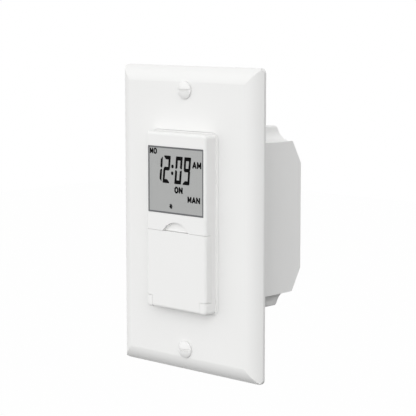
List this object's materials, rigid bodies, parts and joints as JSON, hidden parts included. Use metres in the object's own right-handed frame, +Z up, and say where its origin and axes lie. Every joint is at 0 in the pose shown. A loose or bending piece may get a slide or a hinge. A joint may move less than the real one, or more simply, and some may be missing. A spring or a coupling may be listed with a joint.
{
  "type": "timer light switch",
  "caption": "In-wall timer light switch: bevelled wall plate, display window, flip-down door over sprung set-up buttons, steel mounting strap and a stepped rear housing.",
  "frame": {"origin": "midway between the two box screws of the mounting strap, on the wall plane", "axes": "+X to the right seen from the front, +Y into the wall, +Z up"},
  "size_m": [0.0698, 0.0469, 0.1142],
  "materials": {
    "white_plastic": "moulded white plastic, satin",
    "white_screw": "white enamelled screw heads",
    "zinc_steel": "zinc-plated steel",
    "green_screw": "green-dyed screw",
    "clear_window": "clear polished acrylic",
    "lcd": "grey reflective display glass",
    "natural_plastic": "natural moulded plastic",
    "zebra_rubber": "silicone connector strip",
    "board": "green solder mask",
    "black_plastic": "black moulded plastic",
    "cell_can": "nickel-plated can",
    "copper_winding": "enamelled copper wire",
    "brass_parts": "plain brass",
    "spring_steel": "spring steel",
    "blue_plastic": "blue moulded cover",
    "yellow_case": "yellow potted case",
    "capacitor_sleeve": "dark shrink sleeve",
    "blue_coating": "dipped coating",
    "fuse_body": "ceramic tube",
    "housing_plastic": "moulded white plastic, fine texture",
    "button_plastic": "pale grey moulded plastic"
  },
  "bodies": {
    "base": {"wall_plate": "white_plastic", "plate_screws": "white_screw", "mounting_strap": "zinc_steel", "ground_screw": "green_screw", "front_bezel": "white_plastic", "lcd_window": "clear_window", "lcd_glass": "lcd", "lcd_holder": "natural_plastic", "zebra_strips": "zebra_rubber", "control_board": "board", "board_screws": "zinc_steel", "tact_switches": "black_plastic", "control_chip": "black_plastic", "clock_crystal": "zinc_steel", "cell_holder": "black_plastic", "backup_cell": "cell_can", "board_header": "black_plastic", "board_socket": "black_plastic", "power_board": "board", "relay_base": "black_plastic", "relay_yoke": "zinc_steel", "relay_coil": "copper_winding", "relay_contacts": "brass_parts", "relay_cover": "blue_plastic", "film_capacitor": "yellow_case", "smoothing_capacitor": "capacitor_sleeve", "varistor": "blue_coating", "fuse": "fuse_body", "bridge_rectifier": "black_plastic", "terminal_block": "black_plastic", "terminal_springs": "spring_steel", "terminal_bars": "brass_parts", "rear_housing": "housing_plastic", "housing_screws": "zinc_steel"},
    "door": {"door": "white_plastic"},
    "armature": {"relay_armature": "zinc_steel"},
    "mode_key": {"mode_button": "button_plastic", "mode_plunger": "black_plastic"},
    "program_key": {"program_button": "button_plastic", "program_plunger": "black_plastic"},
    "day_key": {"day_button": "button_plastic", "day_plunger": "black_plastic"},
    "hour_key": {"hour_button": "button_plastic", "hour_plunger": "black_plastic"},
    "minute_key": {"minute_button": "button_plastic", "minute_plunger": "black_plastic"},
    "on_off_key": {"on_off_button": "button_plastic", "on_off_plunger": "black_plastic"},
    "reset_key": {"reset_button": "button_plastic", "reset_plunger": "black_plastic"}
  },
  "joints": [
    {"name": "door_hinge", "type": "hinge", "parent": "base", "child": "door", "pos_m": [0, -0.0088, -0.0317], "axis": [1, 0, 0], "range_deg": [0, 110]},
    {"name": "mode_press", "type": "slide", "parent": "base", "child": "mode_key", "axis": [0, 1, 0], "range_m": [0, 0.0005], "stiffness_N_per_m": 1500, "springref_m": -0.0004},
    {"name": "program_press", "type": "slide", "parent": "base", "child": "program_key", "axis": [0, 1, 0], "range_m": [0, 0.0005], "stiffness_N_per_m": 1500, "springref_m": -0.0004},
    {"name": "day_press", "type": "slide", "parent": "base", "child": "day_key", "axis": [0, 1, 0], "range_m": [0, 0.0005], "stiffness_N_per_m": 1500, "springref_m": -0.0004},
    {"name": "hour_press", "type": "slide", "parent": "base", "child": "hour_key", "axis": [0, 1, 0], "range_m": [0, 0.0005], "stiffness_N_per_m": 1500, "springref_m": -0.0004},
    {"name": "minute_press", "type": "slide", "parent": "base", "child": "minute_key", "axis": [0, 1, 0], "range_m": [0, 0.0005], "stiffness_N_per_m": 1500, "springref_m": -0.0004},
    {"name": "on_off_press", "type": "slide", "parent": "base", "child": "on_off_key", "axis": [0, 1, 0], "range_m": [0, 0.0005], "stiffness_N_per_m": 1500, "springref_m": -0.0004},
    {"name": "reset_press", "type": "slide", "parent": "base", "child": "reset_key", "axis": [0, 1, 0], "range_m": [0, 0.0005], "stiffness_N_per_m": 1500, "springref_m": -0.0004},
    {"name": "armature_rock", "type": "hinge", "parent": "base", "child": "armature", "pos_m": [0.0033, 0.02305, 0.0154], "axis": [0, 0, 1], "range_deg": [0, 3], "stiffness_Nm_per_rad": 0.05, "springref_deg": -2.86}
  ]
}
